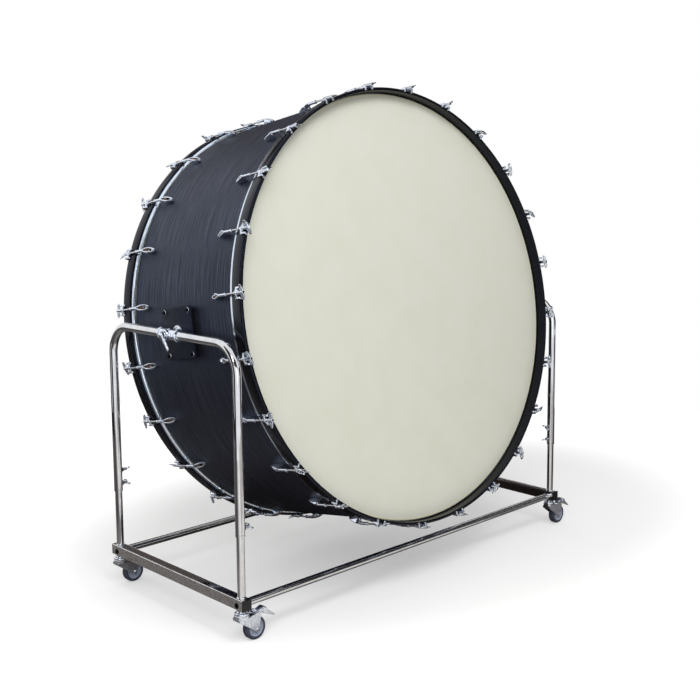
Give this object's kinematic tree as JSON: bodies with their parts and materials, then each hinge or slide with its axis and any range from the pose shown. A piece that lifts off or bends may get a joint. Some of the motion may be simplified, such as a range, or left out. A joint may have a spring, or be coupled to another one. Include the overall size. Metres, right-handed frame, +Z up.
{
  "type": "concert bass drum on tilting stand",
  "caption": "Large concert bass drum with claw tension rods, hung on trunnions in a chromed tube stand that tilts, rises and rolls on braked casters",
  "frame": {"origin": "on the floor, under the middle of the whole object's bounding box; the pivot line lies 0.931 m above it and the drum's own centre 43.6 mm towards -X of it", "axes": "+Z up, -Y towards the side of the front head, +X along the pivot line towards the side the casters trail to"},
  "size_m": [1.7708, 0.962, 1.7556],
  "materials": {
    "stained_wood": "black stained maple veneer, satin lacquer",
    "hoop_wood": "black lacquered laminated wood with chrome claws and rods",
    "drum_skin": "cream skin-textured drumhead",
    "polished_aluminium": "drawn aluminium ring, satin polished",
    "chrome": "bright chrome plate",
    "zinc_plate": "bright zinc plated pressed steel",
    "black_steel": "black powder coat",
    "black_plastic": "moulded black plastic",
    "grey_rubber": "dark grey moulded rubber"
  },
  "bodies": {
    "base": {"left_side_bar": "chrome", "right_side_bar": "chrome", "front_cross_rail": "chrome", "rear_cross_rail": "chrome", "left_front_lower_leg": "chrome", "left_rear_lower_leg": "chrome", "right_front_lower_leg": "chrome", "right_rear_lower_leg": "chrome", "left_front_end_cap": "black_plastic", "left_rear_end_cap": "black_plastic", "right_front_end_cap": "black_plastic", "right_rear_end_cap": "black_plastic", "left_front_caster_stem": "zinc_plate", "left_rear_caster_stem": "zinc_plate", "right_front_caster_stem": "zinc_plate", "right_rear_caster_stem": "zinc_plate"},
    "left_bail": {"left_bail": "chrome", "left_clamp": "chrome"},
    "right_bail": {"right_bail": "chrome", "right_clamp": "chrome"},
    "drum": {"shell": "stained_wood", "front_head": "drum_skin", "rear_head": "drum_skin", "front_flesh_hoop": "polished_aluminium", "rear_flesh_hoop": "polished_aluminium", "front_counterhoop": "hoop_wood", "rear_counterhoop": "hoop_wood", "left_mount_plate": "black_steel", "right_mount_plate": "black_steel", "left_trunnion": "chrome", "right_trunnion": "chrome"},
    "left_lever": {"left_clamp_lever": "chrome"},
    "right_lever": {"right_clamp_lever": "chrome"},
    "left_front_upper_wing_screw": {"left_front_upper_wing_screw": "chrome"},
    "left_front_lower_wing_screw": {"left_front_lower_wing_screw": "chrome"},
    "left_rear_upper_wing_screw": {"left_rear_upper_wing_screw": "chrome"},
    "left_rear_lower_wing_screw": {"left_rear_lower_wing_screw": "chrome"},
    "right_front_upper_wing_screw": {"right_front_upper_wing_screw": "chrome"},
    "right_front_lower_wing_screw": {"right_front_lower_wing_screw": "chrome"},
    "right_rear_upper_wing_screw": {"right_rear_upper_wing_screw": "chrome"},
    "right_rear_lower_wing_screw": {"right_rear_lower_wing_screw": "chrome"},
    "left_front_caster": {"left_front_fork": "zinc_plate", "left_front_axle": "zinc_plate"},
    "left_front_wheel": {"left_front_wheel": "grey_rubber"},
    "left_front_pedal": {"left_front_brake_pedal": "zinc_plate"},
    "left_rear_caster": {"left_rear_fork": "zinc_plate", "left_rear_axle": "zinc_plate"},
    "left_rear_wheel": {"left_rear_wheel": "grey_rubber"},
    "left_rear_pedal": {"left_rear_brake_pedal": "zinc_plate"},
    "right_front_caster": {"right_front_fork": "zinc_plate", "right_front_axle": "zinc_plate"},
    "right_front_wheel": {"right_front_wheel": "grey_rubber"},
    "right_front_pedal": {"right_front_brake_pedal": "zinc_plate"},
    "right_rear_caster": {"right_rear_fork": "zinc_plate", "right_rear_axle": "zinc_plate"},
    "right_rear_wheel": {"right_rear_wheel": "grey_rubber"},
    "right_rear_pedal": {"right_rear_brake_pedal": "zinc_plate"}
  },
  "joints": [
    {"name": "left_height", "type": "slide", "parent": "base", "child": "left_bail", "axis": [0, 0, 1], "range_m": [0, 0.15]},
    {"name": "right_height", "type": "slide", "parent": "base", "child": "right_bail", "axis": [0, 0, 1], "range_m": [0, 0.15]},
    {"name": "drum_tilt", "type": "hinge", "parent": "left_bail", "child": "drum", "pos_m": [-0.0436, 0, 0.931], "axis": [1, 0, 0], "range_deg": [-80, 99]},
    {"name": "left_clamp_lock", "type": "hinge", "parent": "left_bail", "child": "left_lever", "pos_m": [-0.8806, 0, 0.931], "axis": [1, 0, 0], "range_deg": [-90, 60]},
    {"name": "right_clamp_lock", "type": "hinge", "parent": "right_bail", "child": "right_lever", "pos_m": [0.7934, 0, 0.931], "axis": [1, 0, 0], "range_deg": [-90, 60]},
    {"name": "left_front_upper_screw_turn", "type": "hinge", "parent": "left_bail", "child": "left_front_upper_wing_screw", "pos_m": [-0.8236, -0.3446, 0.414], "axis": [1, 0, 0], "continuous": true},
    {"name": "left_front_lower_screw_turn", "type": "hinge", "parent": "left_bail", "child": "left_front_lower_wing_screw", "pos_m": [-0.8236, -0.3446, 0.366], "axis": [1, 0, 0], "continuous": true},
    {"name": "left_rear_upper_screw_turn", "type": "hinge", "parent": "left_bail", "child": "left_rear_upper_wing_screw", "pos_m": [-0.8236, 0.3446, 0.414], "axis": [1, 0, 0], "continuous": true},
    {"name": "left_rear_lower_screw_turn", "type": "hinge", "parent": "left_bail", "child": "left_rear_lower_wing_screw", "pos_m": [-0.8236, 0.3446, 0.366], "axis": [1, 0, 0], "continuous": true},
    {"name": "right_front_upper_screw_turn", "type": "hinge", "parent": "right_bail", "child": "right_front_upper_wing_screw", "pos_m": [0.7364, -0.3446, 0.414], "axis": [1, 0, 0], "continuous": true},
    {"name": "right_front_lower_screw_turn", "type": "hinge", "parent": "right_bail", "child": "right_front_lower_wing_screw", "pos_m": [0.7364, -0.3446, 0.366], "axis": [1, 0, 0], "continuous": true},
    {"name": "right_rear_upper_screw_turn", "type": "hinge", "parent": "right_bail", "child": "right_rear_upper_wing_screw", "pos_m": [0.7364, 0.3446, 0.414], "axis": [1, 0, 0], "continuous": true},
    {"name": "right_rear_lower_screw_turn", "type": "hinge", "parent": "right_bail", "child": "right_rear_lower_wing_screw", "pos_m": [0.7364, 0.3446, 0.366], "axis": [1, 0, 0], "continuous": true},
    {"name": "left_front_swivel", "type": "hinge", "parent": "base", "child": "left_front_caster", "pos_m": [-0.8456, -0.3446, 0.09], "axis": [0, 0, 1], "continuous": true},
    {"name": "left_front_wheel_spin", "type": "hinge", "parent": "left_front_caster", "child": "left_front_wheel", "pos_m": [-0.7986, -0.3446, 0.0375], "axis": [0, 1, 0], "continuous": true},
    {"name": "left_front_brake", "type": "hinge", "parent": "left_front_caster", "child": "left_front_pedal", "pos_m": [-0.7896, -0.3446, 0.084], "axis": [0, 1, 0], "range_deg": [0, 12]},
    {"name": "left_rear_swivel", "type": "hinge", "parent": "base", "child": "left_rear_caster", "pos_m": [-0.8456, 0.3446, 0.09], "axis": [0, 0, 1], "continuous": true},
    {"name": "left_rear_wheel_spin", "type": "hinge", "parent": "left_rear_caster", "child": "left_rear_wheel", "pos_m": [-0.7986, 0.3446, 0.0375], "axis": [0, 1, 0], "continuous": true},
    {"name": "left_rear_brake", "type": "hinge", "parent": "left_rear_caster", "child": "left_rear_pedal", "pos_m": [-0.7896, 0.3446, 0.084], "axis": [0, 1, 0], "range_deg": [0, 12]},
    {"name": "right_front_swivel", "type": "hinge", "parent": "base", "child": "right_front_caster", "pos_m": [0.7584, -0.3446, 0.09], "axis": [0, 0, 1], "continuous": true},
    {"name": "right_front_wheel_spin", "type": "hinge", "parent": "right_front_caster", "child": "right_front_wheel", "pos_m": [0.8054, -0.3446, 0.0375], "axis": [0, 1, 0], "continuous": true},
    {"name": "right_front_brake", "type": "hinge", "parent": "right_front_caster", "child": "right_front_pedal", "pos_m": [0.8144, -0.3446, 0.084], "axis": [0, 1, 0], "range_deg": [0, 12]},
    {"name": "right_rear_swivel", "type": "hinge", "parent": "base", "child": "right_rear_caster", "pos_m": [0.7584, 0.3446, 0.09], "axis": [0, 0, 1], "continuous": true},
    {"name": "right_rear_wheel_spin", "type": "hinge", "parent": "right_rear_caster", "child": "right_rear_wheel", "pos_m": [0.8054, 0.3446, 0.0375], "axis": [0, 1, 0], "continuous": true},
    {"name": "right_rear_brake", "type": "hinge", "parent": "right_rear_caster", "child": "right_rear_pedal", "pos_m": [0.8144, 0.3446, 0.084], "axis": [0, 1, 0], "range_deg": [0, 12]}
  ],
  "couplings": [
    {"joint": "right_height", "follows": "left_height", "ratio": 1}
  ]
}
